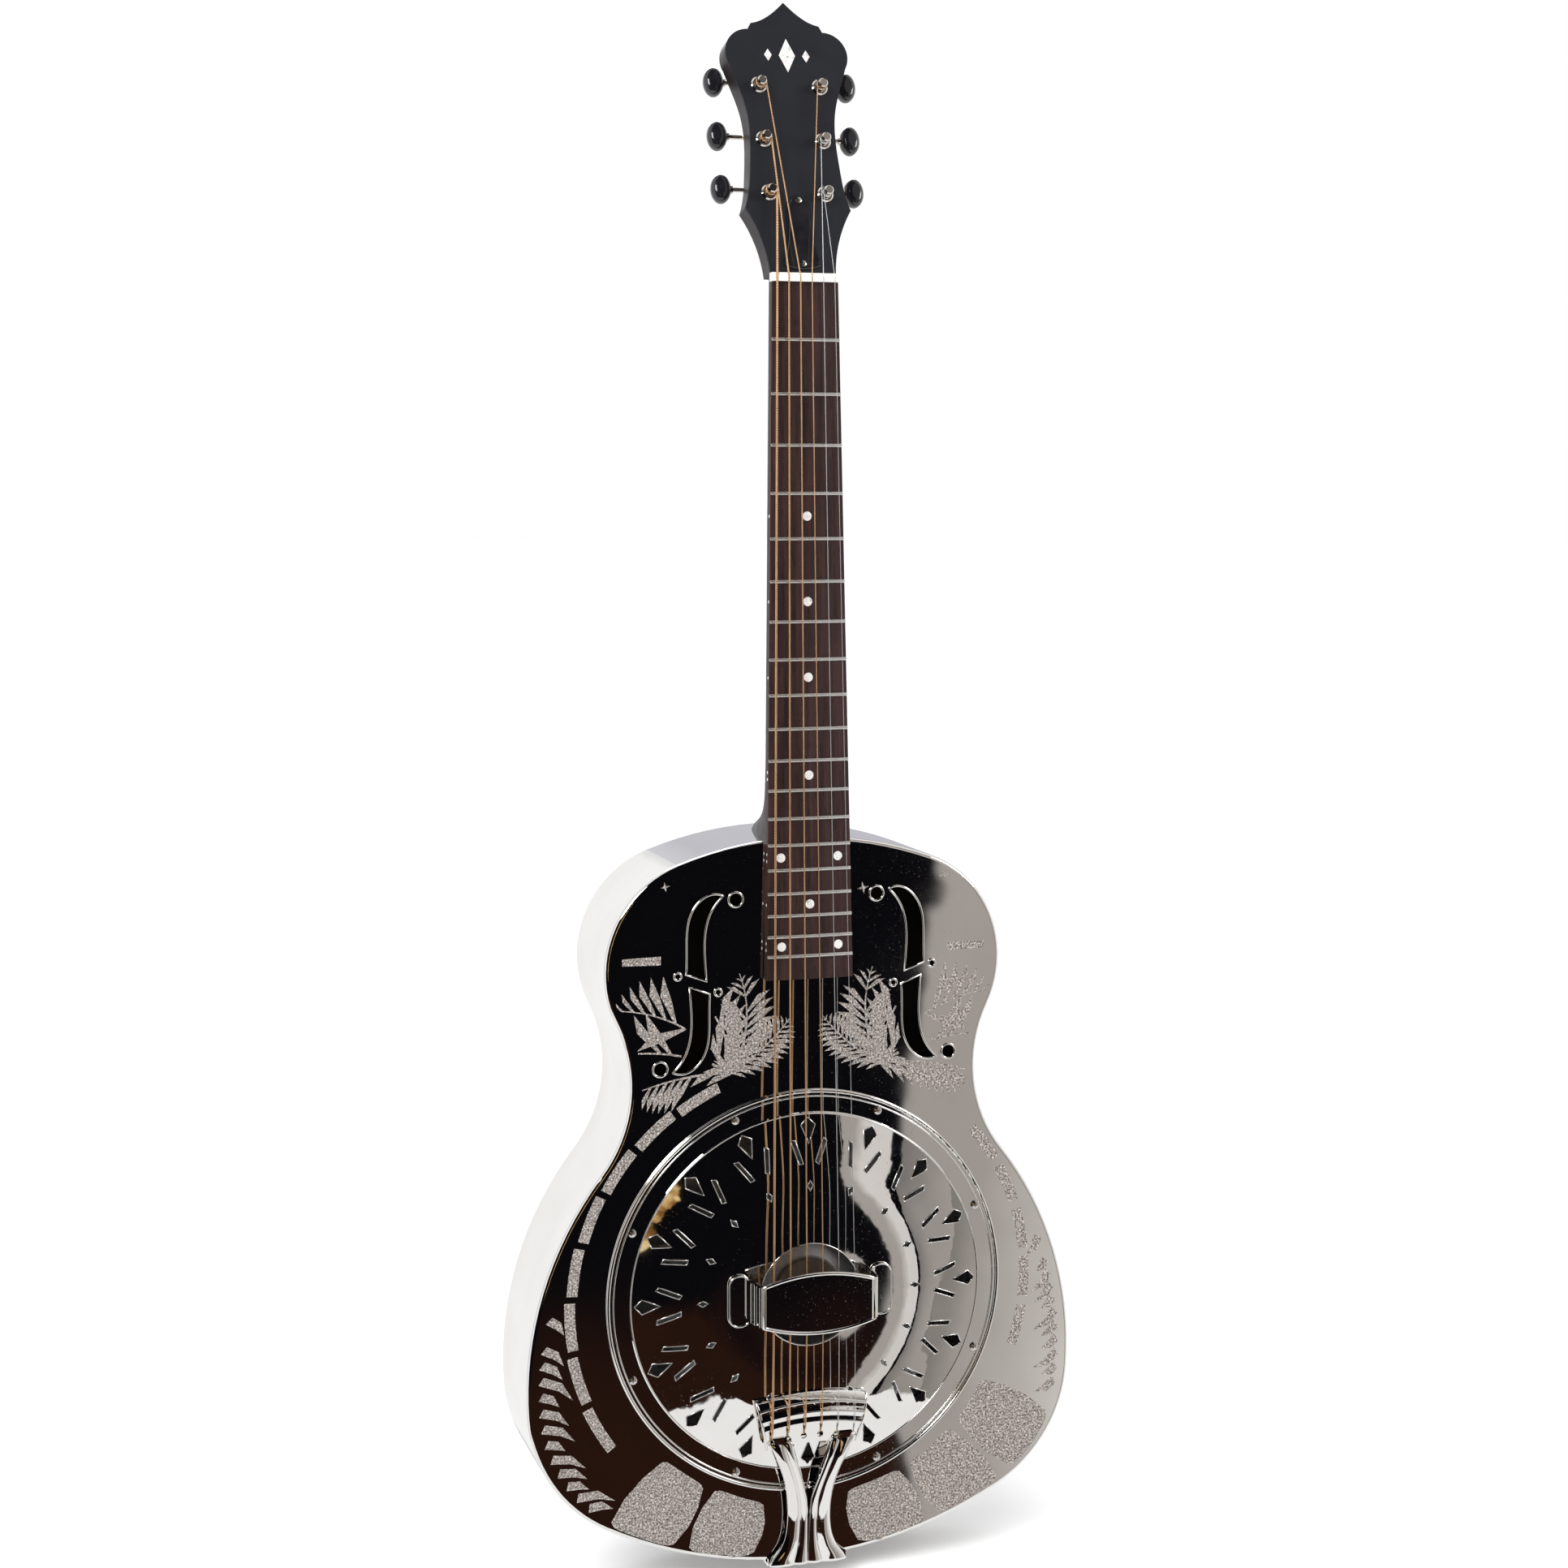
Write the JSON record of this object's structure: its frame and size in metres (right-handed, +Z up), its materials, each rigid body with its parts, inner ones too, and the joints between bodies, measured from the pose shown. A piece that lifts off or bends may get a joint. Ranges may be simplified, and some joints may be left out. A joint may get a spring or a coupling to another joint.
{
  "type": "resonator guitar",
  "caption": "Metal-bodied resonator guitar with a cone under a pierced coverplate, a wooden neck, geared tuners and steel strings.",
  "frame": {"origin": "on the strap button's axis, where it meets the middle of the body's tail end", "axes": "+Z up the neck to the headstock, -Y out of the front towards the listener, +X to the treble side"},
  "size_m": [0.3684, 0.1114, 1.0149],
  "materials": {
    "nickel_plate": "mirror-polished nickel plating over brass",
    "spun_aluminium": "spun, fine circular marks",
    "maple": "raw sanded maple",
    "screw_steel": "nickel-plated steel",
    "neck_finish": "dark satin finish over mahogany",
    "black_facing": "matte black headstock facing",
    "pearl": "mother of pearl",
    "black_plastic": "glossy black plastic",
    "brass": "machined brass",
    "rosewood": "oiled rosewood with open pores",
    "fret_wire": "polished nickel silver",
    "bone": "polished bone",
    "tuner_nickel": "polished nickel plating",
    "bronze_winding": "phosphor bronze winding",
    "plain_steel": "plain tinned steel wire"
  },
  "bodies": {
    "guitar": {"body_top": "nickel_plate", "body_back": "nickel_plate", "body_sides": "nickel_plate", "soundwell": "nickel_plate", "resonator_cone": "spun_aluminium", "bridge_biscuit": "maple", "saddle": "maple", "biscuit_screw": "screw_steel", "coverplate": "nickel_plate", "coverplate_screws": "screw_steel", "handrest": "nickel_plate", "tailpiece": "nickel_plate", "strap_button": "nickel_plate", "strap_button_screw": "screw_steel", "neck": "neck_finish", "neck_stick": "maple", "stick_blocks": "maple", "neck_block": "maple", "headstock_overlay": "black_facing", "headstock_inlay": "pearl", "truss_rod_cover": "black_plastic", "truss_rod": "screw_steel", "fingerboard": "rosewood", "frets": "fret_wire", "position_dots": "pearl", "side_dots": "pearl", "board_shim": "neck_finish", "fingerboard_screws": "screw_steel", "nut": "bone", "tuner_plates": "tuner_nickel", "headstock_screws": "screw_steel", "tuner_bushings": "tuner_nickel", "string_ball_ends": "brass", "wound_strings": "bronze_winding", "plain_strings": "plain_steel"},
    "tuner_key_1": {"tuner_button_1": "black_plastic", "tuner_worm_1": "tuner_nickel"},
    "string_post_1": {"tuner_post_1": "tuner_nickel", "tuner_gear_1": "brass"},
    "tuner_key_2": {"tuner_button_2": "black_plastic", "tuner_worm_2": "tuner_nickel"},
    "string_post_2": {"tuner_post_2": "tuner_nickel", "tuner_gear_2": "brass"},
    "tuner_key_3": {"tuner_button_3": "black_plastic", "tuner_worm_3": "tuner_nickel"},
    "string_post_3": {"tuner_post_3": "tuner_nickel", "tuner_gear_3": "brass"},
    "tuner_key_4": {"tuner_button_4": "black_plastic", "tuner_worm_4": "tuner_nickel"},
    "string_post_4": {"tuner_post_4": "tuner_nickel", "tuner_gear_4": "brass"},
    "tuner_key_5": {"tuner_button_5": "black_plastic", "tuner_worm_5": "tuner_nickel"},
    "string_post_5": {"tuner_post_5": "tuner_nickel", "tuner_gear_5": "brass"},
    "tuner_key_6": {"tuner_button_6": "black_plastic", "tuner_worm_6": "tuner_nickel"},
    "string_post_6": {"tuner_post_6": "tuner_nickel", "tuner_gear_6": "brass"},
    "truss_nut": {"truss_rod_nut": "brass"}
  },
  "joints": [
    {"name": "key_turn_1", "type": "hinge", "parent": "guitar", "child": "tuner_key_1", "pos_m": [-0.0184, 0.00068, 0.88332], "axis": [1, 0, 0], "continuous": true},
    {"name": "post_turn_1", "type": "hinge", "parent": "guitar", "child": "string_post_1", "pos_m": [-0.0184, -0.01881, 0.87955], "axis": [0, -0.97, 0.2429], "continuous": true},
    {"name": "key_turn_2", "type": "hinge", "parent": "guitar", "child": "tuner_key_2", "pos_m": [-0.0194, 0.00911, 0.91698], "axis": [1, 0, 0], "continuous": true},
    {"name": "post_turn_2", "type": "hinge", "parent": "guitar", "child": "string_post_2", "pos_m": [-0.0194, -0.01039, 0.91321], "axis": [0, -0.97, 0.2429], "continuous": true},
    {"name": "key_turn_3", "type": "hinge", "parent": "guitar", "child": "tuner_key_3", "pos_m": [-0.02, 0.01774, 0.95142], "axis": [1, 0, 0], "continuous": true},
    {"name": "post_turn_3", "type": "hinge", "parent": "guitar", "child": "string_post_3", "pos_m": [-0.02, -0.00176, 0.94765], "axis": [0, -0.97, 0.2429], "continuous": true},
    {"name": "key_turn_4", "type": "hinge", "parent": "guitar", "child": "tuner_key_4", "pos_m": [0.02, 0.01774, 0.95142], "axis": [1, 0, 0], "continuous": true},
    {"name": "post_turn_4", "type": "hinge", "parent": "guitar", "child": "string_post_4", "pos_m": [0.02, -0.00176, 0.94765], "axis": [0, -0.97, 0.2429], "continuous": true},
    {"name": "key_turn_5", "type": "hinge", "parent": "guitar", "child": "tuner_key_5", "pos_m": [0.0194, 0.00911, 0.91698], "axis": [1, 0, 0], "continuous": true},
    {"name": "post_turn_5", "type": "hinge", "parent": "guitar", "child": "string_post_5", "pos_m": [0.0194, -0.01039, 0.91321], "axis": [0, -0.97, 0.2429], "continuous": true},
    {"name": "key_turn_6", "type": "hinge", "parent": "guitar", "child": "tuner_key_6", "pos_m": [0.0184, 0.00068, 0.88332], "axis": [1, 0, 0], "continuous": true},
    {"name": "post_turn_6", "type": "hinge", "parent": "guitar", "child": "string_post_6", "pos_m": [0.0184, -0.01881, 0.87955], "axis": [0, -0.97, 0.2429], "continuous": true},
    {"name": "truss_nut_turn", "type": "hinge", "parent": "guitar", "child": "truss_nut", "pos_m": [0, -0.02361, 0.84179], "axis": [0, 0.0272, 0.9996], "range_deg": [-180, 180]}
  ],
  "couplings": [
    {"joint": "post_turn_1", "follows": "key_turn_1", "ratio": -0.071429},
    {"joint": "post_turn_2", "follows": "key_turn_2", "ratio": -0.071429},
    {"joint": "post_turn_3", "follows": "key_turn_3", "ratio": -0.071429},
    {"joint": "post_turn_4", "follows": "key_turn_4", "ratio": 0.071429},
    {"joint": "post_turn_5", "follows": "key_turn_5", "ratio": 0.071429},
    {"joint": "post_turn_6", "follows": "key_turn_6", "ratio": 0.071429}
  ]
}
